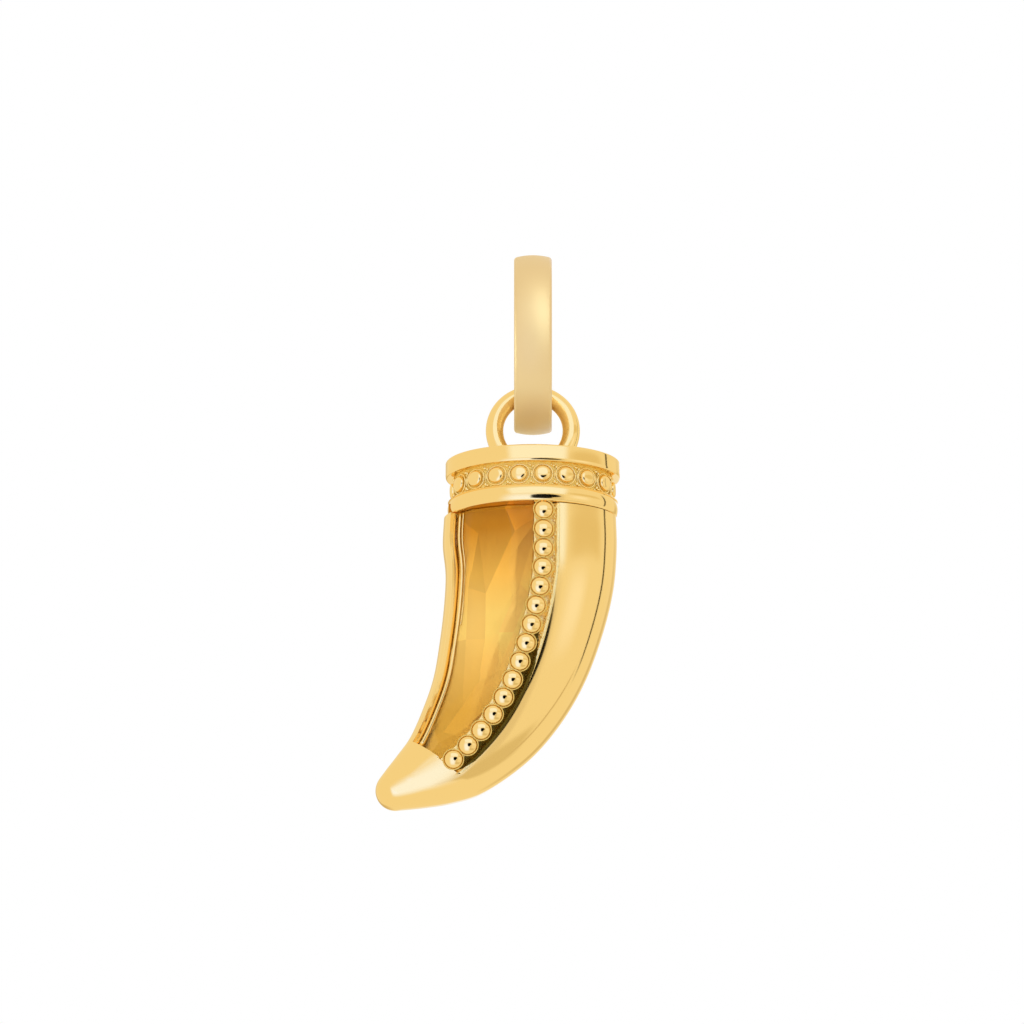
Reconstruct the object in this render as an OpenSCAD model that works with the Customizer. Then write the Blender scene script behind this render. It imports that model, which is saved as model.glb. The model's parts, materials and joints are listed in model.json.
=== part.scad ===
// Gemstone claw pendant: a hollow gold claw with a long cut stone behind an open
// window, closed by a beaded cap whose loop hangs on a plain ring bail.
// Millimetres. The origin is the crown of the bail's bore, where the chain carries it.
// X runs across the front to the viewer's right, Y runs to the back and Z up.

/* [Bail] */
// Outer radius of the bail ring
bail_r = 5.63; // [5.5:0.01:5.8]
// Width of the bail's band
bail_w = 2.36; // [2.1:0.02:2.36]
// Thickness of the band on its centre line
bail_t = 1.6; // [1.4:0.05:1.6]
// Rise of the band's outer face from its edges to its centre line
bail_crown = 0.17; // [0.1:0.01:0.25]
// Rise of the band's inner face, which follows the loop's arch
bail_comfort = 0.32; // [0.3:0.01:0.4]
// Radius of the band's outer edges
bail_edge_r = 0.28; // [0.1:0.01:0.3]
// Radius of the band's inner edges
bail_bore_edge_r = 0.24; // [0.2:0.01:0.3]

/* [Loop] */
// Radius of the loop, to the middle of its wire
loop_r = 2.4; // [2.38:0.01:2.45]
// Radius of the loop's wire
wire_r = 0.55; // [0.45:0.01:0.56]
// Height of the bail's lowest point over the loop's middle
bail_lift = 0.05; // [0:0.01:0.07]

/* [Cap] */
// Half the width of the upper band
cap_r = 5.47; // [5.4:0.01:5.6]
// Depth of the cap from front to back, as a part of its width
cap_depth = 0.65; // [0.6:0.01:0.7]
// Drop from the loop's middle to the cap's top
cap_drop = 2.14; // [2:0.01:2.3]
// Height of the upper band
upper_h = 1.08; // [0.9:0.01:1.2]
// Height of the channel between the bands
channel_h = 1.52; // [1.4:0.01:1.7]
// Height of the lower band
lower_h = 1.06; // [0.9:0.01:1.2]
// Depth of the channel below the upper band
channel_cut = 0.58; // [0.5:0.01:0.6]
// Set-back of the lower band from the upper band
lower_cut = 0.13; // [0.05:0.01:0.2]
// Radius of the edges of both bands
band_edge_r = 0.14; // [0.05:0.01:0.2]
// Number of beads round the cap
cap_beads = 18; // [16:1:20]
// Radius of a cap bead
cap_bead_r = 0.5; // [0.45:0.01:0.52]
// Distance of a cap bead's middle from the channel's wall
cap_bead_out = 0.07; // [0.05:0.01:0.1]
// Distance of the first bead right of the middle, along the channel
cap_bead_first = 0.61; // [0:0.01:1.3]

/* [Claw] */
// Thickness of the claw's wall
wall = 0.8; // [0.7:0.05:0.9]
// Width of the gold rim left of the window, seen from the front
rim_w = 0.42; // [0.3:0.01:0.6]
// Angle of the bead row from the front, seen along the claw
row_angle = 8.8; // [6:0.2:12]
// Number of beads in the row
row_beads = 15; // [12:1:15]
// Radius of a row bead
row_bead_r = 0.54; // [0.5:0.01:0.56]
// Distance between two row beads
row_pitch = 1.25; // [1.2:0.01:1.26]
// Height of a row bead's middle over the strip
bead_rise = 0.35; // [0.3:0.01:0.4]
// Half the width of the strip that carries the row
strip_w = 0.6; // [0.56:0.01:0.65]
// Depth of the strip below the claw's surface
strip_cut = 0.4; // [0.35:0.01:0.45]
// Lean of the groove's right wall, from its foot to its edge
groove_lean = 0.26; // [0.1:0.01:0.4]

/* [Stone] */
// Depth of the stone's face below the claw's surface
stone_cut = 0.56; // [0.5:0.01:0.65]
// Height of the stone's girdle
girdle_h = 0.3; // [0.2:0.05:0.4]
// Depth of the stone's flat table below its facets' corners
table_cut_depth = 0.06; // [0.03:0.01:0.1]
// Depth of the stone's keel, as a part of the claw's half depth
keel_share = 0.6; // [0.5:0.01:0.65]
// Gap between two pieces that meet
seat_gap = 0.03; // [0.02:0.01:0.05]

/* [Hidden] */
$fn = 64;
bail_bore = bail_r - bail_t;
bail_z = -bail_bore;
loop_z = bail_z - bail_r - bail_lift;
cap_z = loop_z - cap_drop;
cap_h = upper_h + channel_h + lower_h;
mouth_z = cap_z - cap_h - seat_gap;
channel_r = cap_r - channel_cut;
lower_r = cap_r - lower_cut;
cap_bead_z = -upper_h - channel_h / 2;

// The claw's sections from the mouth to the tip, in the plane Y = 0, with Z from the mouth.
// Columns: inner X, inner Z, outer X, outer Z, half depth along Y.
CLAW = [
    [-5.56,   0.00,  5.24,   0.00, 3.38],
    [-5.64,  -1.80,  5.28,  -2.05, 3.42],
    [-5.46,  -3.67,  5.06,  -4.73, 3.36],
    [-5.56,  -5.79,  4.38,  -7.64, 3.22],
    [-5.81,  -8.04,  3.25, -10.81, 3.00],
    [-6.19, -10.42,  1.69, -13.59, 2.70],
    [-6.81, -12.40, -0.31, -15.97, 2.33],
    [-7.63, -14.38, -2.94, -17.93, 1.93],
    [-8.50, -15.66, -4.88, -18.62, 1.65],
    [-9.08, -16.45, -6.60, -18.92, 1.42],
    [-9.59, -17.18, -8.26, -19.10, 1.20],
];
last_row = len(CLAW) - 1;
// Radius of the claw's round tip
tip_r = 1.25;
// The window ends past this row of the table, and the hollow a little further on.
window_end = 7.22;
hollow_end = 7.4;
// The groove of the row ends past the window's end.
row_end = 7.32;
// The cuts start this far above the mouth, counted as rows of the table.
above = -0.4;
// How far a cut reaches past the metal that it takes away.
over = 0.3;

// Rows of the claw's table at which the stone's left and right edges have a corner.
EDGE = [0.02, 1.3, 2.3, 3.25, 4.2, 5.2, 6.2, 7.19];
edges = len(EDGE);
// Corners of the facets between the two edges.
// Columns: row of the claw's table, place across the window from 0 to 1.
INNER = [
    [0.02, 0.30],
    [0.02, 0.62],
    [1.15, 0.27],
    [1.10, 0.73],
    [3.20, 0.12],
    [3.25, 0.38],
    [2.90, 0.83],
    [4.90, 0.60],
    [7.19, 0.50],
];
// Three places of the same kind that the plane of the stone's flat table goes through.
TABLE = [
    [1.10, 0.30],
    [4.60, 0.50],
    [1.10, 0.75],
];
// Facets of the front: L and R count along the two edges, and I along the inner corners.
L = [for (i = [0:edges - 1]) i];
R = [for (i = [0:edges - 1]) edges + i];
I = [for (i = [0:len(INNER) - 1]) 2 * edges + i];
FRONT = [
    [L[0], I[2], L[1]], [L[0], I[0], I[2]], [I[0], I[3], I[2]], [I[0], I[1], I[3]],
    [I[1], R[0], I[3]], [R[0], R[1], I[3]],
    [L[1], I[2], L[2]], [L[2], I[2], I[4]], [L[2], I[4], L[3]],
    [I[2], I[5], I[4]], [I[2], I[3], I[5]], [I[3], I[6], I[5]],
    [I[3], R[1], I[6]], [R[1], R[2], I[6]], [R[2], R[3], I[6]],
    [L[3], I[4], L[4]], [L[4], I[4], I[5]], [L[4], I[5], I[7]], [I[5], I[6], I[7]],
    [I[6], R[4], I[7]], [I[6], R[3], R[4]],
    [L[4], I[7], L[5]], [L[5], I[7], L[6]], [L[6], I[7], I[8]], [L[6], I[8], L[7]],
    [I[7], R[4], R[5]], [I[7], R[5], R[6]], [I[7], R[6], I[8]], [I[8], R[6], R[7]],
];

// Numbers from a to b in n equal steps.
function steps(a, b, n) = [for (i = [0:n]) a + (b - a) * i / n];

// A list turned end to end.
function reversed(list) = [for (i = [len(list) - 1:-1:0]) list[i]];

// A list of [radius, width] points with its width turned over.
function mirrored(list) = [for (p = list) [p[0], -p[1]]];

// Running length along a list of points.
function running(p, i = 0, sum = 0) = i == len(p) - 1
    ? [sum]
    : concat([sum], running(p, i + 1, sum + norm(p[i + 1] - p[i])));

// Place in a list of running lengths, as a fraction of its steps, where length d is reached.
function place(lengths, d) = let (
    i = len([for (l = lengths) if (l <= d) l]) - 1,
    j = min(i, len(lengths) - 2)
) j + (d - lengths[j]) / (lengths[j + 1] - lengths[j]);

// Points of an arc round [x, y], from angle a to angle b.
function arc(x, y, r, a, b, n) =
    [for (t = steps(a, b, n)) [x + r * cos(t), y + r * sin(t)]];

// One quarter of the bail's outline from its centre line to its side: a crowned face and a
// round edge. The face rises by crown over half the width, and side is 1 outside, -1 inside.
function bail_face(top, crown, edge_r, side) =
    let (
        half = bail_w / 2,
        slope = atan(2 * crown * (half - edge_r) / half ^ 2),
        x_edge = half - edge_r + edge_r * sin(slope),
        drop = crown * (x_edge / half) ^ 2
    )
    concat(
        [for (i = [0:6]) let (x = x_edge * i / 6) [top - side * crown * (x / half) ^ 2, x]],
        [for (i = [1:6]) let (t = slope + (90 - slope) * i / 6)
            [top - side * (drop + edge_r * (cos(slope) - cos(t))), half - edge_r * (1 - sin(t))]]
    );

// The ring bail: one round band.
module bail() {
    outer = bail_face(bail_r, bail_crown, bail_edge_r, 1);
    inner = bail_face(bail_bore, bail_comfort, bail_bore_edge_r, -1);
    half = concat(outer, reversed(inner));
    other = mirrored([for (i = [len(half) - 2:-1:1]) half[i]]);
    color([0.86, 0.72, 0.42])
    translate([0, 0, bail_z])
    rotate([0, 90, 0])
    rotate_extrude()
    polygon(concat(half, other));
}

// Outline of one band of the cap, from its top to its bottom, with round edges.
function band(r, top, height) = let (e = band_edge_r) concat(
    arc(r - e, top - e, e, 90, 20, 4),
    arc(r - e, top - height + e, e, -20, -90, 4)
);

// A point of the ellipse that the cap's beads stand on, at angle t from the front.
function bead_point(t) = [
    (channel_r + cap_bead_out) * sin(t),
    -(channel_r * cap_depth + cap_bead_out) * cos(t)
];
bead_steps = 720;
bead_lengths = running([for (i = [0:bead_steps]) bead_point(i * 360 / bead_steps)]);

// A bead of the cap, with its poles along the way it faces.
module cap_bead(i) {
    around = bead_lengths[bead_steps];
    d = (cap_bead_first + i * around / cap_beads) % around;
    t = place(bead_lengths, d) * 360 / bead_steps;
    p = bead_point(t);
    translate([p[0], p[1], cap_z + cap_bead_z])
    rotate([0, 90, t - 90])
    sphere(r = cap_bead_r, $fn = 24);
}

// The cap with its two bands, its beads and the loop on top, soldered to one piece.
module cap() {
    color([0.95, 0.78, 0.42])
    union() {
        translate([0, 0, cap_z])
        scale([1, cap_depth, 1])
        rotate_extrude($fn = 96)
        polygon(concat(
            [[0, 0]],
            band(cap_r, 0, upper_h),
            [[channel_r, -upper_h], [channel_r, -upper_h - channel_h]],
            band(lower_r, -upper_h - channel_h, lower_h),
            [[0, -cap_h]]
        ));
        for (i = [0:cap_beads - 1]) cap_bead(i);
        translate([0, 0, loop_z])
        rotate([90, 0, 0])
        rotate_extrude()
        translate([loop_r, 0])
        circle(r = wire_r, $fn = 32);
    }
}

// One column of the claw's table at a place between its rows, on a smooth curve.
function claw_value(c, s) =
    let (
        i = min(max(floor(s), 0), last_row - 1),
        t = s - i,
        p = [for (k = [-1:2]) CLAW[min(max(i + k, 0), last_row)][c]]
    )
    0.5 * (2 * p[1] + (p[2] - p[0]) * t + (2 * p[0] - 5 * p[1] + 4 * p[2] - p[3]) * t ^ 2
        + (3 * p[1] - p[0] - 3 * p[2] + p[3]) * t ^ 3);

// Centre, direction from inner to outer side and half sizes of the claw's section at s.
// Below 0 the section of the mouth goes straight up, a millimetre for each row.
function section(s) =
    let (
        u = max(s, 0),
        up = max(-s, 0),
        a = [claw_value(0, u), claw_value(1, u) + up],
        b = [claw_value(2, u), claw_value(3, u) + up]
    )
    [(a + b) / 2, (b - a) / norm(b - a), norm(b - a) / 2, claw_value(4, u)];

// A point at angle phi from the front of section s, at a depth below the claw's surface.
function on_claw(s, phi, depth = 0) =
    let (
        c = section(s),
        n = [c[3] * sin(phi), c[2] * cos(phi)],
        q = [c[2] * sin(phi), c[3] * cos(phi)] - depth * n / norm(n)
    )
    [c[0][0] + q[0] * c[1][0], -q[1], mouth_z + c[0][1] + q[0] * c[1][1]];

// Angles at which the claw's front lies x to the right of the bead row, and the rim's edge.
function by_row(s, x) = asin(sin(row_angle) + x / section(s)[2]);
function by_rim(s, x) = -asin(1 - (rim_w + x) / section(s)[2]);

// Faces of a closed solid made of m rings of n points each.
function ring_faces(n, m) = concat(
    [[for (j = [n - 1:-1:0]) j]],
    [for (i = [0:m - 2]) for (j = [0:n - 1])
        let (a = i * n + j, b = i * n + (j + 1) % n)
        each [[a, b, b + n], [a, b + n, a + n]]],
    [[for (j = [0:n - 1]) (m - 1) * n + j]]
);

// A solid of the claw's own sections at one depth below its surface.
module claw_body(depth, places, sides, tip = false) {
    rings = [for (s = places) [for (j = [0:sides - 1]) on_claw(s, j * 360 / sides, depth)]];
    end = section(last_row);
    axis = [end[1][1], -end[1][0]];
    open = asin(end[2] / tip_r);
    middle = end[0] - axis * tip_r * cos(open);
    round = !tip ? [] : [for (t = steps(open, 6, 4)) if (t < open)
        [for (j = [0:sides - 1])
            let (
                phi = j * 360 / sides,
                c = middle + axis * tip_r * cos(t),
                r = tip_r * sin(t)
            )
            [c[0] + r * sin(phi) * end[1][0], -r * cos(phi), mouth_z + c[1] + r * sin(phi) * end[1][1]]]];
    all = concat(rings, round);
    polyhedron(points = [for (r = all) each r], faces = ring_faces(sides, len(all)), convexity = 6);
}

// A block that follows the claw's surface between two depths, for the cuts in its wall.
// Its corners at the two depths are the angles that left and right give for each place.
module patch(places, left_out, right_out, depth_out, left_in, right_in, depth_in) {
    across = 8;
    rings = [for (s = places) concat(
        [for (f = [0:across]) on_claw(s, left_out(s) + (right_out(s) - left_out(s)) * f / across, depth_out)],
        [for (f = [across:-1:0]) on_claw(s, left_in(s) + (right_in(s) - left_in(s)) * f / across, depth_in)]
    )];
    polyhedron(
        points = [for (r = rings) each r],
        faces = ring_faces(2 * across + 2, len(rings)),
        convexity = 6
    );
}

// The window: its sides stand square to the surface, so its left wall can be seen.
module window_cut() {
    rim = function(s) by_rim(s, 0);
    strip = function(s) by_row(s, -strip_w);
    patch(steps(above, window_end, 20), rim, strip, -over, rim, strip, wall + over);
}

// The groove that the strip of beads lies in, with a sloping wall on its right.
module groove_cut() {
    lean = groove_lean * (strip_cut + over) / strip_cut;
    left = function(s) by_row(s, -strip_w - over / 3);
    right_in = function(s) by_row(s, strip_w);
    right_out = function(s) by_row(s, strip_w + lean);
    patch(steps(above, row_end, 20), left, right_out, -over, left, right_in, strip_cut);
}

// The row's middle line, sampled finely. Its first bead lies against the cap.
row_steps = 320;
row_places = steps(0, window_end + 1, row_steps);
row_depth = strip_cut - bead_rise;
row_start = row_bead_r + seat_gap / 3;
row_lengths = running([for (s = row_places) on_claw(s, row_angle, row_depth)]);

// A bead of the row, with a narrower foot that is sunk into the wall below the strip.
module row_bead(i) {
    f = place(row_lengths, row_start + i * row_pitch);
    s = f * (window_end + 1) / row_steps;
    foot_depth = strip_cut + wall / 4;
    foot_r = 0.6 * row_bead_r;
    hull() {
        translate(on_claw(s, row_angle, row_depth)) sphere(r = row_bead_r, $fn = 12);
        translate(on_claw(s, row_angle, foot_depth)) sphere(r = foot_r, $fn = 8);
    }
}

// The hollow claw with its window, its groove and its row of beads, one piece of metal.
module claw_setting() {
    color([0.95, 0.78, 0.42])
    union() {
        difference() {
            claw_body(0, steps(0, last_row, 28), 48, tip = true);
            claw_body(wall, steps(above, hollow_end, 18), 36);
            window_cut();
            groove_cut();
        }
        for (i = [0:row_beads - 1]) row_bead(i);
    }
}

// A corner of the stone at a place in the window, at a depth below the claw's surface.
function stone_point(s, across, depth) =
    let (left = by_rim(s, seat_gap), right = by_row(s, -strip_w - seat_gap))
    on_claw(s, left + (right - left) * across, depth);

// A block in front of the plane of the table, which takes off what stands over it.
module table_cut() {
    p = [for (c = TABLE) stone_point(c[0], c[1], stone_cut + table_cut_depth)];
    along = (p[1] - p[0]) / norm(p[1] - p[0]);
    across = cross(p[1] - p[0], p[2] - p[0]);
    out = across / norm(across);
    side = cross(out, along);
    size = 40;
    multmatrix([
        [along[0], side[0], out[0], p[0][0]],
        [along[1], side[1], out[1], p[0][1]],
        [along[2], side[2], out[2], p[0][2]],
    ])
    translate([-size / 2, -size / 2, 0])
    cube([size, size, size / 8]);
}

// The stone: a faceted front, a narrow girdle and a keeled back inside the hollow claw.
module stone() {
    keel = function(s) stone_point(s, 0.5, keel_share * section(s)[3]);
    front = concat(
        [for (s = EDGE) stone_point(s, 0, stone_cut)],
        [for (s = EDGE) stone_point(s, 1, stone_cut)],
        [for (c = INNER) stone_point(c[0], c[1], stone_cut)]
    );
    n = len(front);
    back = concat(
        [for (s = EDGE) stone_point(s, 0, stone_cut + girdle_h)],
        [for (s = EDGE) stone_point(s, 1, stone_cut + girdle_h)],
        [for (s = EDGE) keel(s)]
    );
    last = edges - 1;
    girdle_left = n;
    girdle_right = n + edges;
    keel_row = n + 2 * edges;
    sides = [for (i = [0:last - 1]) each [
        [i, i + 1, girdle_left + i],
        [girdle_left + i, i + 1, girdle_left + i + 1],
        [girdle_left + i, girdle_left + i + 1, keel_row + i],
        [keel_row + i, girdle_left + i + 1, keel_row + i + 1],
        [edges + i, girdle_right + i, edges + i + 1],
        [girdle_right + i, girdle_right + i + 1, edges + i + 1],
        [girdle_right + i, keel_row + i, girdle_right + i + 1],
        [keel_row + i, keel_row + i + 1, girdle_right + i + 1],
    ]];
    top = [[0, girdle_left, keel_row, girdle_right, edges, I[1], I[0]]];
    bottom = [[last, I[8], edges + last, girdle_right + last, keel_row + last, girdle_left + last]];
    color([0.92, 0.66, 0.25, 0.85])
    difference() {
        polyhedron(points = concat(front, back), faces = concat(FRONT, sides, top, bottom), convexity = 6);
        table_cut();
    }
}

bail();
cap();
claw_setting();
stone();
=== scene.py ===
"""Gemstone claw pendant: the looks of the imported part, laid out as a Blender add-on.

All lengths are metres in the part's own frame. X runs to the viewer's right across the front,
Y to the back and Z up. The origin is the crown of the bail's bore.
"""
import json
import math
import random

import bpy
from bpy.props import FloatProperty, FloatVectorProperty, IntProperty, PointerProperty
from mathutils import Euler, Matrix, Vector

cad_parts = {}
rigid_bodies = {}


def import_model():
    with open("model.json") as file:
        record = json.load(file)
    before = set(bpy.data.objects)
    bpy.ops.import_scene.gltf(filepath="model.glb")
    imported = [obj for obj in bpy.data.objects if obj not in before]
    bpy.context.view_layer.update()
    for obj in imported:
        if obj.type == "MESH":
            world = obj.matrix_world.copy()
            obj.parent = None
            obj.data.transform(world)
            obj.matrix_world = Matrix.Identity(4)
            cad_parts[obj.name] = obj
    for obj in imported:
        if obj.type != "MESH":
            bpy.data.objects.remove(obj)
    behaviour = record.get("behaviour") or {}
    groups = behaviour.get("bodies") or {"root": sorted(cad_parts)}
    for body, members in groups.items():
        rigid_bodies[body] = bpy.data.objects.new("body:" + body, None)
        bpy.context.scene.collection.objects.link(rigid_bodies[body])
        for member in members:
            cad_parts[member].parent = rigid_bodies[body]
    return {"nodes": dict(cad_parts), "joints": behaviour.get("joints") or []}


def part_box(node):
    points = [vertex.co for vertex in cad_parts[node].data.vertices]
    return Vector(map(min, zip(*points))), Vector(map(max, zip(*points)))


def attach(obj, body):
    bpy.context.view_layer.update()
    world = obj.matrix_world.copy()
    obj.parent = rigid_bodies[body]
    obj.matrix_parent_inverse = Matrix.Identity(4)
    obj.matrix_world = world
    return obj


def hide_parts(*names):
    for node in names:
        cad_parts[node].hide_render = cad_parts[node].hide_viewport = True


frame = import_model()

bl_info = {
    "name": "Gemstone claw pendant",
    "version": (1, 0, 0),
    "blender": (4, 5, 0),
    "location": "3D View > Sidebar > Pendant",
    "description": "Models and finishes the pieces of a gemstone claw pendant",
    "category": "Object",
}

MM = 0.001
FULL_TURN = 2 * math.pi
# Distance that still counts as touching a section's plane.
CLOSE = 0.0002 * MM
# Vertices this close to each other are one. The second is for rings of radius 1.
DOUBLE = 0.001 * MM
RING_DOUBLE = 1e-5

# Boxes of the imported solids, which the pieces are sized from.
BAIL_LOW, BAIL_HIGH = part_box("bail")
CAP_LOW, CAP_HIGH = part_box("cap")
CAP_RADIUS = (CAP_HIGH.x - CAP_LOW.x) / 2
CAP_DEPTH = (CAP_HIGH.y - CAP_LOW.y) / (CAP_HIGH.x - CAP_LOW.x)
CLAW_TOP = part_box("claw_setting")[1].z
STONE_LOW, STONE_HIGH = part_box("stone")
LOOP_CENTRE = Vector(frame["joints"][0]["pos_m"])

# The claw's sections from its mouth to its tip, in millimetres, with Z from the mouth.
# Columns: inner X, inner Z, outer X, outer Z, half depth along Y.
CLAW_SECTIONS = (
    (-5.56, 0.00, 5.24, 0.00, 3.38),
    (-5.64, -1.80, 5.28, -2.05, 3.42),
    (-5.46, -3.67, 5.06, -4.73, 3.36),
    (-5.56, -5.79, 4.38, -7.64, 3.22),
    (-5.81, -8.04, 3.25, -10.81, 3.00),
    (-6.19, -10.42, 1.69, -13.59, 2.70),
    (-6.81, -12.40, -0.31, -15.97, 2.33),
    (-7.63, -14.38, -2.94, -17.93, 1.93),
    (-8.50, -15.66, -4.88, -18.62, 1.65),
    (-9.08, -16.45, -6.60, -18.92, 1.42),
    (-9.59, -17.18, -8.26, -19.10, 1.20),
)
LAST_SECTION = len(CLAW_SECTIONS) - 1
# The rounded shoulder right of the bead row: place across the lean, and share of the depth.
SHOULDER = ((0.2, 0.62), (0.42, 0.33), (0.68, 0.12), (1.0, 0.0))
# The painted shade in the recess right of the lower beads: place along the claw, and share of
# the shoulder.
RECESS_SHADE = ((3.3, 0.0), (4.2, 0.95), (5.2, 1.15), (6.0, 1.15), (6.7, 1.0), (7.2, 0.4))
# How far inside the strip's right edge the painted shade starts, and the width of its soft
# edges.
RECESS_SHADE_START = 0.3 * MM
RECESS_SHADE_FADES = (0.16 * MM, 0.06 * MM)
# The window ends at this row of the table, and the groove of the beads a little further on.
WINDOW_END = 7.22
GROOVE_END = 7.26
# The angle of the tip's last ring from its pole.
LAST_RING = math.radians(2)
# How near a row of the table, or how many millimetres from a column, still counts as on it.
NEAR = 0.01

# The cast grains beside the row: how rough one is, the seeds of its form and of their places,
# and the ranges of place across the groove's lean, radius in millimetres, width and height.
GRAIN_ROUGHNESS = 0.16 * MM
GRAIN_SEEDS = (3, 7)
GRAIN_PLACES = (0.05, 0.85)
GRAIN_RADII = (0.045, 0.09)
GRAIN_WIDTHS = (0.6, 1)
GRAIN_HEIGHTS = (0.8, 1.6)

# A bead's height as a share of its radius, and how square its dome is.
CAP_BEAD_FORM = (0.5, 3.0)
ROW_BEAD_FORM = (0.62, 2.6)
# The rounded foot of the cap, in millimetres: way in from the lower band's face, and height.
CAP_FOOT = ((0.06, 0.02), (0.16, 0.0))
# Grains at the side of a cap bead, in millimetres. Columns: X, Z, half width, half height.
CUP_GRAINS = (
    (0.75, -0.05, 0.05, 0.3), (0.68, 0.55, 0.12, 0.09), (0.86, 0.47, 0.08, 0.11),
    (0.74, -0.5, 0.1, 0.12), (0.88, -0.6, 0.1, 0.08), (0.55, 0.62, 0.07, 0.06),
    (0.6, -0.64, 0.06, 0.07), (0.79, 0.33, 0.05, 0.06),
)
# The bezel's ribs. Columns: way from the window's left edge and depth in millimetres, first
# and last place along the claw, first and last share of the rib's radius.
BEZEL_RIBS = (
    (0.24, 0.5, 0.1, 7.15, 0.45, 1.0),
    (0.42, 0.56, 0.1, 3.6, 0.3, 0.25),
)

# Corners of the stone's back facets, in millimetres.
# Columns: X, Z, distance behind the table.
STONE_CORNERS = (
    (-5.25, -14.82, 0.48), (-2.75, -15.14, 0.48), (-1.79, -15.26, 0.49), (0.50, -15.55, 0.47),
    (0.50, -16.17, 0.47), (-4.31, -16.06, 0.50), (-5.25, -15.55, 0.48), (-3.32, -17.08, 0.53),
    (-1.11, -17.17, 0.47), (-3.92, -20.57, 0.53), (-2.87, -21.06, 0.55), (-4.88, -20.60, 0.48),
    (-0.80, -20.66, 0.47), (0.50, -19.15, 0.47), (-0.25, -21.32, 0.47), (0.25, -21.69, 0.47),
    (-4.08, -23.94, 0.52), (-2.91, -24.07, 0.55), (-2.10, -23.71, 0.50), (-1.19, -23.79, 0.47),
    (-0.38, -24.45, 0.47), (-5.31, -23.98, 0.48), (-3.30, -26.76, 0.54), (-4.32, -28.31, 0.53),
    (-2.13, -26.28, 0.50), (-1.81, -27.58, 0.50), (-6.31, -27.69, 0.48), (-5.51, -29.86, 0.51),
    (-7.81, -30.49, 0.48), (-5.06, -32.49, 0.49), (-3.19, -30.71, 0.50),
)
# The back facets. Columns: painted light of the facet, from darker to lighter, and corners.
STONE_FACETS = (
    (-0.16, (0, 1, 7, 5, 6)),
    (0.04, (6, 5, 7, 9, 11)),
    (-0.20, (7, 10, 9)),
    (-0.12, (1, 2, 8, 10, 7)),
    (0.30, (2, 3, 4, 8)),
    (0.09, (8, 4, 13, 12, 18, 17, 10)),
    (0.12, (12, 13, 15, 14)),
    (0.00, (12, 14, 19, 18)),
    (0.08, (14, 15, 20, 19)),
    (-0.10, (9, 10, 17, 16)),
    (0.06, (11, 9, 16, 21)),
    (-0.05, (16, 17, 22, 23)),
    (-0.12, (21, 16, 23, 27, 28, 26)),
    (0.08, (17, 18, 24, 22)),
    (0.12, (18, 19, 24)),
    (0.04, (19, 20, 25, 24)),
    (0.04, (22, 24, 25, 30, 27, 23)),
    (-0.06, (27, 30, 29, 28)),
)

# The studio's panels. Columns: name, azimuth, elevation, half spread, colour, distance,
# softness of the edges, tilt.
PANELS = (
    ("front_panel", -9, -20, (27, 42), (1.0, 1.15, 1.65), 0.60, 0.8, 0),
    ("upper_panel", 5, 29, (29, 18), (1.0, 1.08, 1.25), 0.62, 0.3, 0),
    ("right_glow", 48, 4, (18, 11), (1.0, 0.95, 0.85), 0.64, 0.9, 0),
    ("right_shade", 35, -36, (30, 12), (0.73, 0.62, 0.38), 0.66, 0.5, 0),
    ("front_right_shade", 21, -10, (11, 24), (0.79, 0.69, 0.48), 0.68, 0.5, 0),
    ("upper_right_shade", 58, 19, (28, 6), (0.80, 0.66, 0.38), 0.70, 0.6, 0),
    ("dark_card", 12, 1, (15, 8.5), (0.0, 0.0, 0.0), 0.45, 0.15, 0),
    ("dark_spot", 8, -6, (11, 12), (0.0, 0.0, 0.0), 0.46, 0.2, 0),
    ("right_gap", 92, 12, (2.4, 26), (0.03, 0.02, 0.005), 0.50, 0.5, -4),
    ("lower_gap", 72, -24, (1.6, 22), (0.62, 0.5, 0.3), 0.52, 0.5, -38),
    ("back_panel", 165, 15, (14, 45), (1.0, 1.15, 1.6), 0.60, 0.7, 8),
    ("back_shade", 200, -5, (20, 40), (0.66, 0.52, 0.28), 0.62, 0.8, 0),
    ("back_right_shade", 135, -10, (12, 40), (0.7, 0.58, 0.34), 0.64, 0.8, 0),
)

# Lights on the bail alone. Columns: name, azimuth, elevation, half spread, colour, distance,
# whether matt surfaces catch them too.
BAIL_LIGHTS = (
    ("bail_glow", 17, 22, (10, 50), (5.6, 7.4, 7.8), 0.43, False),
    ("bail_fill", 180, -62, (38, 36), (3.6, 5.2, 5.8), 0.44, True),
    ("bail_edge", -78, -6, (16, 34), (5.0, 6.6, 7.0), 0.45, False),
)
# Panels that are round instead of square.
ROUND_PANELS = ("dark_card", "dark_spot")
# The middle of the panels, and the point that the camera looks at.
STUDIO_CENTRE = Vector((0, 0, -16)) * MM
AIM = Vector((-1.31, 1.62, -14.52)) * MM
FLOOR_RADIUS = 3.0
FLOOR_LEVEL = -0.62


# ------------------------------------------------------------------ settings

def a_length(name, text, value, low, high):
    """A length setting, given in millimetres."""
    return FloatProperty(name=name, description=text, unit="LENGTH",
                         min=low * MM, max=high * MM, default=value * MM)


def a_colour(name, text, value, high=1):
    """A colour setting."""
    return FloatVectorProperty(name=name, description=text, subtype="COLOR", size=3,
                               min=0, max=high, default=value)


def a_share(name, text, value):
    """A setting from nothing to all."""
    return FloatProperty(name=name, description=text, subtype="FACTOR",
                         min=0, max=1, default=value)


def an_angle(name, text, degrees, low, high):
    """An angle setting, with its limits in radians."""
    return FloatProperty(name=name, description=text, subtype="ANGLE",
                         min=low, max=high, default=math.radians(degrees))


def a_count(name, text, value, low, high):
    """A whole number as a setting."""
    return IntProperty(name=name, description=text, min=low, max=high, default=value)


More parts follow.
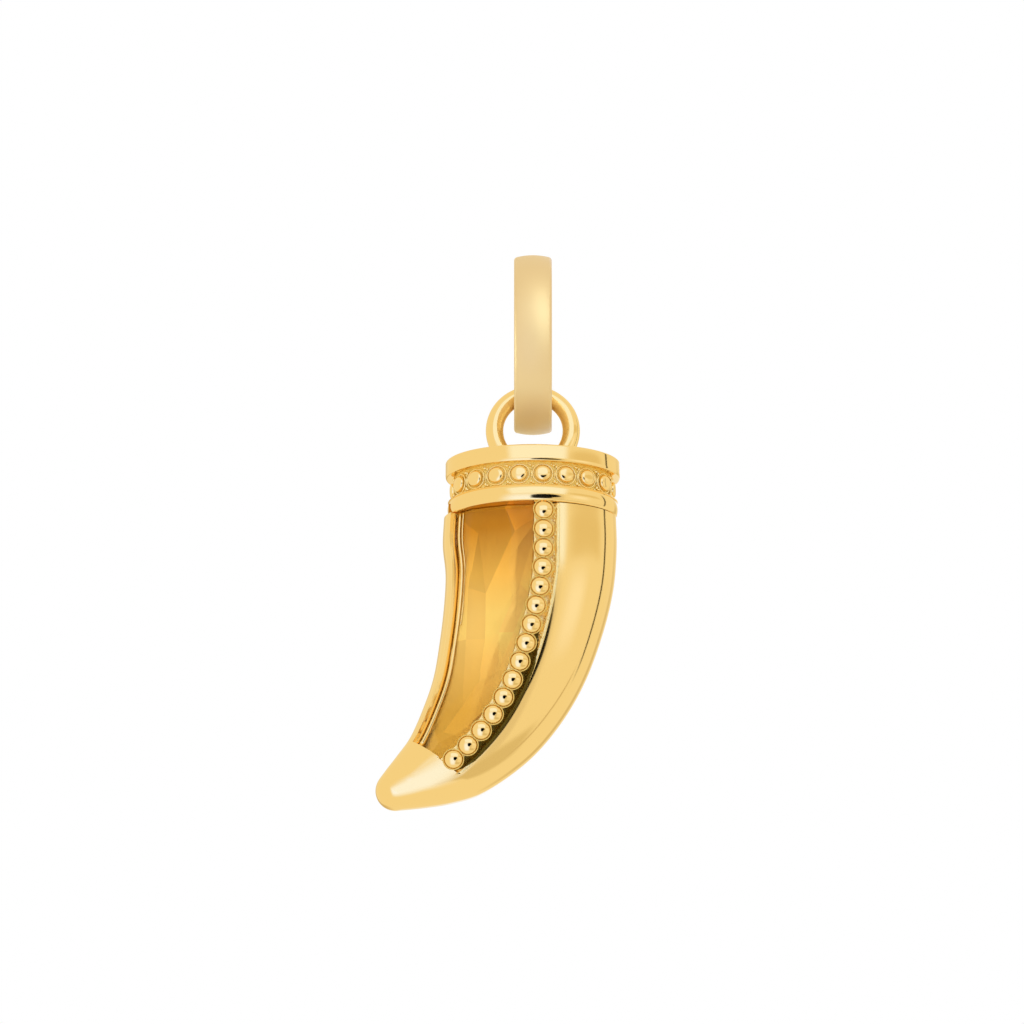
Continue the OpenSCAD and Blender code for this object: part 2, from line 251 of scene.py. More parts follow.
class MetalSettings(bpy.types.PropertyGroup):
    """Colours and finish of the gold."""
    polished: a_colour("Polished gold", "Colour of the polished gold", (1.0, 0.76, 0.36))
    satin: a_colour("Satin gold", "Colour of the bail's satin gold", (0.66, 0.475, 0.225))
    # Rough cast gold, darker and more olive than the polished gold as painted shade in the
    # channel.
    cast: a_colour("Cast gold", "Colour of the ground of the cap's channel", (0.93, 0.6, 0.07))
    # Paler than the polished gold as painted light.
    groove: a_colour("Groove gold", "Colour of the gold round the beads", (1.0, 0.79, 0.36))
    # Darker than the polished gold as painted shade round each row bead.
    collar: a_colour("Collar gold", "Colour of the row beads' collars", (0.86, 0.6, 0.17))
    # The colour of the painted shade in the recess beside the row.
    recess: a_colour("Recess", "Colour of the dark recess beside the row", (0.12, 0.08, 0.012))
    polish_roughness: a_share("Polish roughness", "Roughness of the polished gold", 0.07)
    satin_roughness: a_share("Satin roughness", "Roughness of the satin gold", 0.38)
    satin_share: a_share("Satin share", "Share of mirror reflection in the satin gold", 0.3)


class StoneSettings(bpy.types.PropertyGroup):
    """Colours of the stone and size of its bezel."""
    # Darkened as painted shade under the cap.
    top: a_colour("Top colour", "Colour of the stone under the cap", (0.62, 0.23, 0.006))
    upper: a_colour("Upper colour", "Colour a third of the way down", (0.92, 0.51, 0.09))
    middle: a_colour("Middle colour", "Colour of the lightest part", (1.0, 0.63, 0.17))
    bottom: a_colour("Bottom colour", "Colour near the tip", (0.78, 0.41, 0.055))
    clear: a_colour("Clear colour", "Tint of the clear body over the facets", (1.0, 0.97, 0.85))
    gloss: a_colour("Gloss", "Tint of the stone's mirror reflection", (1.0, 0.8, 0.35))
    ior: FloatProperty(
        name="Refraction", description="Refractive index of the stone",
        min=1, max=2.5, default=1.55)
    facet: a_length("Facet layer", "Thickness of the coloured facets", 0.05, 0.02, 0.1)
    rib: a_length("Bezel rib", "Radius of the rib that holds the stone", 0.15, 0.05, 0.3)


class BailSettings(bpy.types.PropertyGroup):
    """Sizes of the ring bail."""
    thickness: a_length("Thickness", "Thickness of the band on its centre line", 1.6, 0.5, 3)
    crown: a_length("Crown", "Rise of the outer face over the band's width", 0.17, 0, 0.5)
    comfort: a_length("Inner crown", "Rise of the inner face over the width", 0.32, 0, 0.5)
    edge: a_length("Edge", "Radius of the band's edges", 0.17, 0, 0.5)
    steps: a_count("Steps", "Steps round the ring", 160, 24, 256)


class CapSettings(bpy.types.PropertyGroup):
    """Sizes of the cap, its beads and its loop."""
    loop_radius: a_length("Loop radius", "Loop's radius to its wire's middle", 2.4, 1, 4)
    wire_radius: a_length("Wire radius", "Radius of the loop's wire", 0.55, 0.3, 1)
    drop: a_length("Drop", "Drop from the loop's middle to the cap's top", 2.14, 1, 4)
    upper: a_length("Upper band", "Height of the upper band", 1.08, 0.5, 2)
    channel: a_length("Channel", "Height of the channel between the bands", 1.52, 1, 3)
    channel_cut: a_length("Channel depth", "Depth below the upper band", 0.58, 0.2, 1)
    lower_cut: a_length("Lower set-back", "Lower band's way behind the upper", 0.13, 0, 0.5)
    edge: a_length("Edge", "Radius of the bands' edges", 0.14, 0, 0.3)
    soft_edge: a_length("Soft edge", "Radius of the upper band's lower face", 0.62, 0.2, 1)
    lip: a_length("Lip", "Radius of the upper band's lower edge", 0.09, 0, 0.3)
    dome: a_length("Dome", "Radius of the lower band's rounded face", 1.08, 0.7, 5)
    beads: a_count("Beads", "Number of beads round the cap", 18, 8, 32)
    bead_radius: a_length("Bead radius", "Radius of a bead of the cap", 0.51, 0.2, 1)
    bead_out: a_length("Bead stand-off", "Way from the wall to a bead's middle", 0.07, 0, 0.2)
    first_bead: a_length("First bead", "Way from the front to the first bead", 0.61, 0, 2)


class ClawSettings(bpy.types.PropertyGroup):
    """Sizes of the claw, its window and its row of beads."""
    wall: a_length("Wall", "Thickness of the hollow claw's wall", 0.8, 0.3, 1)
    rim: a_length("Rim", "Width of the rim left of the window", 0.42, 0.2, 1)
    row_angle: an_angle("Row angle", "Angle of the bead row from the claw's front", 8.8, 0, 0.5)
    strip: a_length("Strip", "Half the width of the strip under the beads", 0.6, 0.3, 1)
    strip_depth: a_length("Strip depth", "Depth below the claw's surface", 0.24, 0.1, 1)
    lean: a_length("Groove lean", "Lean of the groove's right wall", 0.42, 0.1, 0.5)
    lining: a_length("Lining", "Thickness of the groove's rough lining", 0.04, 0.02, 0.1)
    lining_rise: a_length("Lining rise", "Rise of the lining over the groove", 0.03, 0.01, 0.1)
    grains: a_count("Grains", "Number of cast grains beside the row", 130, 0, 300)
    edge: a_length("Edge", "Radius of the window's edges", 0.07, 0, 0.2)
    tip_radius: a_length("Tip radius", "Radius of the claw's round tip", 1.25, 0.5, 2)
    beads: a_count("Beads", "Number of beads in the row", 15, 2, 15)
    bead_radius: a_length("Bead radius", "Radius of a bead of the row", 0.62, 0.3, 0.8)
    first_bead: a_length("First bead", "Way from the mouth to the first bead", 0.55, 0.3, 1)
    pitch: a_length("Pitch", "Distance between two beads of the row", 1.25, 1, 1.5)
    bead_rise: a_length("Bead rise", "Height of a bead's middle over the strip", 0.19, 0, 0.6)
    collar: a_length("Collar", "Radius of the crest of a bead's collar", 0.04, 0.02, 0.1)


class StageSettings(bpy.types.PropertyGroup):
    """Light, floor and camera."""
    fill: a_colour("Fill", "Warm light that the metal reflects", (0.92, 0.82, 0.58), 4)
    daylight: FloatProperty(
        name="Daylight", description="Brightness of the white surroundings on all else",
        min=0, max=4, default=1.35)
    distance: a_length("Camera distance", "Distance of the camera", 1500, 100, 5000)
    elevation: an_angle("Camera angle", "Angle at which the camera looks up", 19, -1.5, 1.5)
    width: a_length("Frame width", "Width of the picture at the pendant", 64, 10, 1000)


# ------------------------------------------------------------------ modelling helpers

def deselect():
    """Leaves edit mode and deselects everything."""
    if bpy.context.object and bpy.context.object.mode != "OBJECT":
        bpy.ops.object.mode_set(mode="OBJECT")
    bpy.ops.object.select_all(action="DESELECT")


def arc(x, z, radius, start, end, steps):
    """Points of an arc about (x, z), from one angle in degrees to another."""
    points = []
    for i in range(steps + 1):
        turn = math.radians(start + (end - start) * i / steps)
        points.append((x + radius * math.cos(turn), z + radius * math.sin(turn)))
    return points


def button(name, radius, form):
    """A bead that faces the front: a round form with a slightly flattened crown."""
    tall, power = form
    height = radius * tall
    under = height * 0.9
    steps, rows = 28, 10
    outline = []
    for i in range(rows + 1):
        share = math.sin(math.pi / 2 * i / rows)
        rise = (1 - share ** power) ** (1 / power)
        outline.append((radius * share, -height * rise, 0))
    for i in range(1, rows // 2 + 1):
        turn = math.pi / 2 * i / (rows // 2)
        outline.append((radius * math.cos(turn), under * math.sin(turn), 0))
    return spin_piece(name, outline, steps, (0, 1, 0))


def empty_mesh(name):
    """A new mesh object with nothing in it, in edit mode."""
    deselect()
    bpy.ops.mesh.primitive_plane_add(size=MM)
    piece = bpy.context.object
    piece.name = name
    piece.data.name = name
    bpy.ops.object.mode_set(mode="EDIT")
    bpy.context.tool_settings.mesh_select_mode = (True, False, False)
    bpy.ops.mesh.select_all(action="SELECT")
    bpy.ops.mesh.delete(type="VERT")
    return piece


def add_point(place):
    """One selected vertex at a place, in edit mode."""
    bpy.ops.mesh.select_all(action="DESELECT")
    bpy.ops.mesh.primitive_plane_add(size=0.01 * MM, location=place)
    bpy.ops.mesh.merge(type="CENTER")


def add_chain(points):
    """A line of vertices through the points, extruded one from the other."""
    add_point(points[0])
    for a, b in zip(points, points[1:]):
        bpy.ops.mesh.extrude_region_move(
            TRANSFORM_OT_translate={"value": Vector(b) - Vector(a)})


def select(piece, kind, test):
    """Selects the vertices or faces whose middle passes the test, in edit mode."""
    bpy.ops.object.mode_set(mode="OBJECT")
    mesh = piece.data
    for parts in (mesh.vertices, mesh.edges, mesh.polygons):
        parts.foreach_set("select", [False] * len(parts))
    if kind == "VERT":
        for vertex in mesh.vertices:
            vertex.select = test(vertex.co)
    else:
        for face in mesh.polygons:
            face.select = test(face.center)
    bpy.context.tool_settings.mesh_select_mode = (kind == "VERT", False, kind == "FACE")
    bpy.ops.object.mode_set(mode="EDIT")


def merge_all(distance=DOUBLE):
    """Merges the mesh's vertices that are within a distance of each other, in edit mode."""
    bpy.ops.mesh.select_all(action="SELECT")
    bpy.ops.mesh.remove_doubles(threshold=distance)


def close_and_face_out():
    """Merges doubled vertices and turns all faces outwards, then leaves edit mode."""
    merge_all(2 * DOUBLE)
    bpy.ops.mesh.normals_make_consistent(inside=False)
    bpy.ops.object.mode_set(mode="OBJECT")


def spin_piece(name, outline, steps, axis, centre=(0, 0, 0), depth=None):
    """A piece spun from an outline about an axis, and made oval along Y by depth."""
    piece = empty_mesh(name)
    add_chain(outline)
    merge_all()
    bpy.ops.mesh.spin(steps=steps, angle=FULL_TURN, center=centre, axis=axis)
    if depth:
        bpy.ops.mesh.select_all(action="SELECT")
        bpy.ops.transform.resize(value=(1, depth, 1), center_override=(0, 0, 0))
    close_and_face_out()
    return piece


def add_modifier(piece, kind, **values):
    """Adds a modifier with its values and applies it."""
    bpy.context.view_layer.objects.active = piece
    piece.select_set(True)
    bpy.ops.object.modifier_add(type=kind)
    modifier = piece.modifiers[-1]
    for name, value in values.items():
        setattr(modifier, name, value)
    bpy.ops.object.modifier_apply(modifier=modifier.name)


def round_edges(piece, width, segments):
    """Rounds the edges that are sharper than 60 degrees."""
    add_modifier(
        piece, "BEVEL", width=width, segments=segments,
        limit_method="ANGLE", angle_limit=math.radians(60), use_clamp_overlap=True)


def subdivide_smooth(piece):
    """Subdivides a piece once to a smooth surface."""
    add_modifier(piece, "SUBSURF", levels=1, render_levels=1)


def apply_place(piece):
    """Puts a piece's place, turn and size into its mesh."""
    bpy.ops.object.transform_apply(location=True, rotation=True, scale=True)
    return piece


def copy_of(piece):
    """A copy of a piece with its own mesh, selected alone."""
    deselect()
    bpy.context.view_layer.objects.active = piece
    piece.select_set(True)
    bpy.ops.object.duplicate(linked=False)
    return bpy.context.object


def copies(piece, places):
    """Copies of a piece, each turned and moved to its place. The piece itself goes."""
    made = []
    for place, turn in places:
        copy = copy_of(piece)
        copy.location = place
        copy.rotation_euler = turn
        made.append(apply_place(copy))
    bpy.data.objects.remove(piece)
    return made


def join(pieces, name):
    """Joins pieces to one object at the origin."""
    deselect()
    for piece in pieces:
        piece.select_set(True)
    bpy.context.view_layer.objects.active = pieces[0]
    bpy.ops.object.join()
    joined = bpy.context.object
    joined.name = name
    joined.data.name = name
    return joined


def shade(piece, degrees=None):
    """Smooth shading, with edges over an angle kept sharp."""
    deselect()
    bpy.context.view_layer.objects.active = piece
    piece.select_set(True)
    if degrees is None:
        bpy.ops.object.shade_smooth()
    else:
        bpy.ops.object.shade_smooth_by_angle(angle=math.radians(degrees))


def finish_piece(piece, material, body="pendant", nodes=()):
    """Gives a piece its material, its body and the solids that it stands for."""
    piece.data.materials.clear()
    piece.data.materials.append(material)
    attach(piece, body)
    if nodes:
        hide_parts(*nodes)


def running_lengths(line):
    """The length of a line of points up to each of them."""
    lengths = [0.0]
    for a, b in zip(line, line[1:]):
        lengths.append(lengths[-1] + (b - a).length)
    return lengths


def place_at(line, lengths, way):
    """The point at a way along a line, and its place counted in the line's steps."""
    i = max(j for j in range(len(line) - 1) if lengths[j] <= way)
    share = (way - lengths[i]) / (lengths[i + 1] - lengths[i])
    return line[i].lerp(line[i + 1], share), i + share


# ------------------------------------------------------------------ the claw's surface

def table_value(column, s):
    """A column of the claw's table at a place between its rows, on a smooth curve."""
    i = min(max(int(math.floor(s)), 0), LAST_SECTION - 1)
    t = s - i
    p = [CLAW_SECTIONS[min(max(i + k, 0), LAST_SECTION)][column] for k in (-1, 0, 1, 2)]
    return 0.5 * (
        2 * p[1] + (p[2] - p[0]) * t
        + (2 * p[0] - 5 * p[1] + 4 * p[2] - p[3]) * t ** 2
        + (3 * p[1] - p[0] - 3 * p[2] + p[3]) * t ** 3)


class Section:
    """The claw's cross-section at a place s: its middle, direction and half sizes."""

    def __init__(self, s):
        inner = Vector((table_value(0, s), 0, table_value(1, s))) * MM
        outer = Vector((table_value(2, s), 0, table_value(3, s))) * MM
        self.middle = (inner + outer) / 2 + Vector((0, 0, CLAW_TOP))
        self.half_width = (outer - inner).length / 2
        self.across = (outer - inner).normalized()
        self.half_depth = table_value(4, s) * MM
        self.along = Vector((self.across.z, 0, -self.across.x))

    def point(self, phi, depth=0.0):
        """A point at an angle from the front, at a depth below the surface."""
        normal = Vector((self.half_depth * math.sin(phi), self.half_width * math.cos(phi)))
        normal.normalize()
        x = self.half_width * math.sin(phi) - depth * normal.x
        y = self.half_depth * math.cos(phi) - depth * normal.y
        return self.middle + self.across * x + Vector((0, -y, 0))

    def angle_at(self, x):
        """The angle from the front at which the surface lies x to the right of the middle."""
        return math.asin(max(-1.0, min(1.0, x / self.half_width)))


def row_angle(sizes, section, x):
    """The angle at which the front lies x to the right of the bead row."""
    return section.angle_at(section.half_width * math.sin(sizes.row_angle) + x)


def rim_angle(sizes, section, x=0.0):
    """The angle at which the front lies x to the right of the window's left edge."""
    return section.angle_at(sizes.rim + x - section.half_width)


def place_on_claw(point, sections):
    """Place s and angle phi of a point of the claw, from the planes of its sections."""
    for (s_a, a), (s_b, b) in zip(sections, sections[1:]):
        before = (point - a.middle).dot(a.along)
        after = (point - b.middle).dot(b.along)
        if before >= -CLOSE and after < CLOSE:
            share = min(max(before / (before - after), 0), 1)
            s = s_a + (s_b - s_a) * share
            section = Section(s)
            x = (point - section.middle).dot(section.across) / section.half_width
            return s, math.atan2(x, -point.y / section.half_depth)
    return None, None


def between(sizes, sections, end, low, high):
    """A test for points of the front up to a place, from low to high right of the bead row.

    Without low, the points start at the window's left edge.
    """
    def test(point):
        if point.y > 0:
            return False
        s, phi = place_on_claw(point, sections)
        if s is None or s > end:
            return False
        section = Section(s)
        start = rim_angle(sizes, section) if low is None else row_angle(sizes, section, low)
        return start < phi < row_angle(sizes, section, high)
    return test


def add_ring(angles, counts, half_width, half_depth, across, middle):
    """A closed ring of vertices in arcs between the angles, sized, turned and moved."""
    add_point((math.sin(angles[0]), -math.cos(angles[0]), 0))
    for a, b, steps in zip(angles, angles[1:], counts):
        bpy.ops.mesh.spin(steps=steps, angle=b - a, center=(0, 0, 0), axis=(0, 0, -1))
    bpy.ops.mesh.select_linked()
    bpy.ops.mesh.remove_doubles(threshold=RING_DOUBLE)
    bpy.ops.transform.resize(value=(half_width, half_depth, 1), center_override=(0, 0, 0))
    bpy.ops.transform.rotate(
        value=math.atan2(across.z, across.x), orient_axis="Y", center_override=(0, 0, 0))
    bpy.ops.transform.translate(value=middle)


def bridge_all():
    """Bridges all rings of the mesh from the first to the last."""
    bpy.context.tool_settings.mesh_select_mode = (False, True, False)
    bpy.ops.mesh.select_all(action="SELECT")
    bpy.ops.mesh.bridge_edge_loops(type="SINGLE")


# ------------------------------------------------------------------ materials

def feed(node, *values, **inputs):
    """Gives a node's inputs their values or links: first those in order, then those by name.

    A node given as a value links its first output.
    """
    named = [(node.inputs[name.replace("_", " ")], value) for name, value in inputs.items()]
    for socket, value in [*zip(node.inputs, values), *named]:
        if isinstance(value, bpy.types.Node):
            value = value.outputs[0]
        if isinstance(value, bpy.types.NodeSocket):
            node.id_data.links.new(value, socket)
        else:
            socket.default_value = value
    return node


def new_node(tree, kind, place, *values, settings=(), **inputs):
    """A node of a tree at a place, with its settings and what feeds its inputs."""
    node = tree.nodes.new(kind)
    node.location = place
    for name, value in dict(settings).items():
        setattr(node, name, value)
    return feed(node, *values, **inputs)


def maths(tree, operation, place, *values):
    """A node that calculates with values or links."""
    return new_node(tree, "ShaderNodeMath", place, *values, settings={"operation": operation})


def noise(tree, place, vector, scale, detail, **inputs):
    """A noise pattern."""
    return new_node(tree, "ShaderNodeTexNoise", place, Vector=vector, Scale=scale,
                    Detail=detail, **inputs)


def spread(tree, place, value, **inputs):
    """A node that spreads a value from one range to another."""
    return new_node(tree, "ShaderNodeMapRange", place, Value=value, **inputs)


def mix_colours(tree, place, factor, a, b):
    """The mix of two colours."""
    node = new_node(tree, "ShaderNodeMix", place, settings={"data_type": "RGBA"},
                    Factor=factor, A=a, B=b)
    return node.outputs["Result"]


def own_place(tree, place):
    """The place on the piece itself."""
    return new_node(tree, "ShaderNodeTexCoord", place).outputs["Object"]


def mark(tree, name, place):
    """An attribute stored in the mesh."""
    node = new_node(tree, "ShaderNodeAttribute", place, settings={"attribute_name": name})
    return node.outputs["Fac"]


def new_material(name):
    """A new material and its node tree."""
    material = bpy.data.materials.new(name)
    material.use_nodes = True
    return material, material.node_tree


def finish_group():
    """The node group for a metal's finish: edge wear, roughness drift and fine marks."""
    name = "metal_finish"
    if name in bpy.data.node_groups:
        return bpy.data.node_groups[name]
    group = bpy.data.node_groups.new(name, "ShaderNodeTree")
    for label, kind, value in (
        ("Colour", "Color", (0.9, 0.6, 0.2, 1)), ("Edge Colour", "Color", (1, 0.8, 0.5, 1)),
        ("Roughness", "Float", 0.1), ("Roughness Drift", "Float", 0.03),
        ("Mark Scale", "Float", 3.0), ("Edge Wear", "Float", 0.3),
    ):
        socket = group.interface.new_socket(
            name=label, in_out="INPUT", socket_type="NodeSocket" + kind)
        socket.default_value = value
    for label, kind in (("Colour", "Color"), ("Roughness", "Float"), ("Height", "Float")):
        group.interface.new_socket(
            name=label, in_out="OUTPUT", socket_type="NodeSocket" + kind)
    given = new_node(group, "NodeGroupInput", (-1000, 0)).outputs
    place = new_node(group, "ShaderNodeMapping", (-800, -400),
                     Vector=own_place(group, (-1000, -400)), Scale=(1000, 1000, 1000))
    drift = noise(group, (-600, -200), place, 0.6, 3.0)
    marks = noise(group, (-600, -500), place, given["Mark Scale"], 6.0, Roughness=0.7)
    roughness = maths(group, "MULTIPLY_ADD", (-350, -200),
                      drift, given["Roughness Drift"], given["Roughness"])
    geometry = new_node(group, "ShaderNodeNewGeometry", (-1000, 300))
    edges = spread(group, (-600, 300), geometry.outputs["Pointiness"],
                   From_Min=0.52, From_Max=0.62)
    worn = maths(group, "MULTIPLY", (-350, 300), edges, given["Edge Wear"])
    colour = mix_colours(group, (-100, 200), worn, given["Colour"], given["Edge Colour"])
    new_node(group, "NodeGroupOutput", (600, 0),
             Colour=colour, Roughness=roughness, Height=marks)
    return group


def metal(name, colour, edge_colour, roughness, drift, scale, bump, wear, metallic=1.0):
    """A metal with the shared finish group. Its marks are as tall as bump, in 0.01 mm."""
    if name in bpy.data.materials:
        return bpy.data.materials[name]
    material, tree = new_material(name)
    finish = new_node(
        tree, "ShaderNodeGroup", (-500, 0), settings={"node_tree": finish_group()},
        Colour=(*colour, 1), Edge_Colour=(*edge_colour, 1), Roughness=roughness,
        Roughness_Drift=drift, Mark_Scale=scale, Edge_Wear=wear)
    bumps = new_node(tree, "ShaderNodeBump", (-250, -300), Strength=1.0,
                     Distance=bump * 0.01 * MM, Height=finish.outputs["Height"])
    feed(tree.nodes["Principled BSDF"], Metallic=metallic, Base_Color=finish,
         Roughness=finish.outputs["Roughness"], Normal=bumps)
    return material


def polished_gold():
    """The polished gold of the claw and the cap."""
    values = bpy.context.scene.pendant_metal
    return metal("polished_gold", values.polished, (1.0, 0.82, 0.5), values.polish_roughness,
                 0.03, 2.0, 0.05, 0.3)


def bright_gold():
    """The mirror-bright gold of the beads and the loop."""
    values = bpy.context.scene.pendant_metal
    return metal("bright_gold", values.polished, (1.0, 0.82, 0.5), 0.02, 0.02, 2.0, 0.03, 0.2)


def satin_gold():
    """The satin gold of the bail."""
    values = bpy.context.scene.pendant_metal
    return metal("satin_gold", values.satin, (0.84, 0.66, 0.4), values.satin_roughness,
                 0.08, 14.0, 0.25, 0.5, metallic=values.satin_share)


def shaded_cast_gold():
    """The rough cast gold of the channel's ground, darker and more olive than the polished gold
    as painted shade.
    """
    values = bpy.context.scene.pendant_metal
    return metal("shaded_cast_gold", values.cast, (1.0, 0.78, 0.3), 0.24, 0.2, 2.5, 14.0, 0.8)


def shaded_collar_gold():
    """The gold of the collars of the row beads, darker than the polished gold as painted shade
    round each bead.
    """
    values = bpy.context.scene.pendant_metal
    return metal("shaded_collar_gold", values.collar, (0.95, 0.72, 0.3), 0.2, 0.1, 6.0, 2.0, 0.3)


def groove_gold():
    """The gold round the beads: paler than the polished gold as painted light, with painted
    shade where the mesh is marked as recess.
    """
    name = "groove_gold"
    if name in bpy.data.materials:
        return bpy.data.materials[name]
    values = bpy.context.scene.pendant_metal
    material = metal(name, values.groove, (1.0, 0.87, 0.52), 0.16, 0.1, 6.0, 3.0, 0.5)
    tree = material.node_tree
    shader = tree.nodes["Principled BSDF"]
    plain = shader.inputs["Base Color"].links[0].from_socket
    shade_breakup = noise(tree, (-1100, 200), own_place(tree, (-1300, 200)), 9000.0, 2.0)
    # Painted shade in the recess, its edge broken up by noise.
    painted_shade = maths(tree, "MULTIPLY_ADD", (-900, 300),
                 shade_breakup, -1.2, mark(tree, "recess", (-1100, 400)))
    painted_shade = spread(tree, (-700, 300), painted_shade, From_Min=-0.25, From_Max=0.15)
    feed(shader, Base_Color=mix_colours(tree, (-200, 200), painted_shade, plain, (*values.recess, 1)))
    return material


def clear_stone():
    """The clear body of the stone, with a slight drift in its polish."""
    values = bpy.context.scene.pendant_stone
    material, tree = new_material("clear_stone")
    wear = noise(tree, (-700, 0), own_place(tree, (-900, 0)), 700.0, 3.0)
    feed(tree.nodes["Principled BSDF"], Base_Color=(*values.clear, 1),
         Roughness=spread(tree, (-500, 0), wear, To_Min=0.01, To_Max=0.04),
         IOR=values.ior, Transmission_Weight=1.0, Specular_Tint=(*values.gloss, 1))
    return material


def honey_facets():
    """The honey colour of the back facets: painted shade under the cap, lightest below the
    middle.
    """
    values = bpy.context.scene.pendant_stone
    material, tree = new_material("honey_facets")
    place = own_place(tree, (-1300, 0))
    parts = new_node(tree, "ShaderNodeSeparateXYZ", (-1100, 0), place)
    down = spread(tree, (-900, 0), parts.outputs["Z"],
                  From_Min=STONE_HIGH.z, From_Max=STONE_LOW.z)
    ramp = new_node(tree, "ShaderNodeValToRGB", (-700, 0), down)
    stops = ((0.0, values.top), (0.07, values.top), (0.26, values.upper),
             (0.42, values.middle), (0.5, values.middle), (0.8, values.bottom))
    elements = ramp.color_ramp.elements
    while len(elements) < len(stops):
        elements.new(0.5)
    for element, (position, colour) in zip(elements, stops):
        element.position = position
        element.color = (*colour, 1)
    clouds = noise(tree, (-900, -400), place, 260.0, 2.0)
    veil = spread(tree, (-700, -400), clouds, To_Min=0.94, To_Max=1.06)
    # Painted light of each facet, over a slight random cloudiness.
    level = maths(tree, "ADD", (-500, -500), veil, mark(tree, "facet_light", (-900, -700)))
    shades = new_node(tree, "ShaderNodeVectorMath", (-200, 0), ramp,
                      settings={"operation": "SCALE"}, Scale=level)
    feed(tree.nodes["Principled BSDF"], Base_Color=shades, Metallic=0.9, Roughness=0.42)
    return material


# ------------------------------------------------------------------ pieces

class PENDANT_OT_bail(bpy.types.Operator):
    """Model the satin ring bail as one spun band"""
    bl_idname = "pendant.bail"
    bl_label = "Ring bail"

    def execute(self, context):
        sizes = context.scene.pendant_bail
        half = (BAIL_HIGH.x - BAIL_LOW.x) / 2
        outer = (BAIL_HIGH.z - BAIL_LOW.z) / 2
        bore = outer - sizes.thickness
        centre = Vector((0, 0, (BAIL_HIGH.z + BAIL_LOW.z) / 2))
        shares = [i / 6 for i in range(-6, 7)]
        outside = [(half * f, 0, outer - sizes.crown * f * f) for f in shares]
        inside = [(half * f, 0, bore + sizes.comfort * f * f) for f in reversed(shares)]
        profile = [centre + Vector(p) for p in outside + inside]
        piece = spin_piece("bail_band", profile + profile[:1], sizes.steps, (1, 0, 0), centre)
        round_edges(piece, sizes.edge, segments=6)
        shade(piece)
        finish_piece(piece, satin_gold(), "bail", ["bail"])
        return {"FINISHED"}


class PENDANT_OT_loop(bpy.types.Operator):
    """Model the hanging loop, cut off a little inside the cap's top"""
    bl_idname = "pendant.loop"
    bl_label = "Hanging loop"

    def execute(self, context):
        sizes = context.scene.pendant_cap
        deselect()
        bpy.ops.mesh.primitive_torus_add(
            major_radius=sizes.loop_radius, minor_radius=sizes.wire_radius,
            major_segments=96, minor_segments=32,
            location=LOOP_CENTRE, rotation=(math.pi / 2, 0, 0))
        piece = bpy.context.object
        piece.name = "hanging_loop"
        apply_place(piece)
        sunk = 0.2 * MM
        foot = LOOP_CENTRE.z - sizes.drop - sunk
        bpy.ops.object.mode_set(mode="EDIT")
        bpy.ops.mesh.select_all(action="SELECT")
        bpy.ops.mesh.bisect(
            plane_co=(0, 0, foot), plane_no=(0, 0, 1),
            clear_inner=True, use_fill=True)
        bpy.ops.object.mode_set(mode="OBJECT")
        shade(piece, 40)
        finish_piece(piece, bright_gold())
        return {"FINISHED"}


class PENDANT_OT_cap(bpy.types.Operator):
    """Model the cap's two bands and the channel between them"""
    bl_idname = "pendant.cap"
    bl_label = "Cap"

    def execute(self, context):
        sizes = context.scene.pendant_cap
        top = LOOP_CENTRE.z - sizes.drop
        lower = CAP_RADIUS - sizes.lower_cut
        z_upper = top - sizes.upper
        z_lower = z_upper - sizes.channel
        outline = [(0, top)]
        outline += arc(CAP_RADIUS - sizes.edge, top - sizes.edge, sizes.edge, 90, 0, 6)
        slope = 15
        turn = math.radians(slope)
        base = z_upper + sizes.lip * (1 - math.sin(turn))
        outline += arc(CAP_RADIUS - sizes.soft_edge, base + sizes.soft_edge * math.sin(turn),
                       sizes.soft_edge, 0, -slope, 8)
        flank = CAP_RADIUS - sizes.soft_edge * (1 - math.cos(turn))
        outline += arc(flank - sizes.lip * math.cos(turn), base + sizes.lip * math.sin(turn),
                       sizes.lip, -slope, -90, 6)[1:]
        channel = CAP_RADIUS - sizes.channel_cut
        outline += [(channel, z_upper), (channel, z_lower)]
        outline += arc(lower - sizes.edge, z_lower - sizes.edge, sizes.edge, 90, 32, 5)
        rounding = 0.1 * MM
        half = (z_lower - CAP_LOW.z) / 2 - rounding
        reach = math.degrees(math.asin(half / sizes.dome))
        outline += arc(lower - sizes.dome, (z_lower + CAP_LOW.z) / 2, sizes.dome,
                       reach, -reach, 16)
        waist = lower - sizes.dome + math.sqrt(sizes.dome ** 2 - half ** 2)
        outline += [(waist - x * MM, CAP_LOW.z + z * MM) for x, z in CAP_FOOT]
        outline.append((0, CAP_LOW.z))
        piece = spin_piece("cap_bands", [(0, -r, z) for r, z in outline], 160, (0, 0, 1),
                           depth=CAP_DEPTH)
        shade(piece, 50)
        finish_piece(piece, polished_gold(), nodes=["cap"])
        return {"FINISHED"}


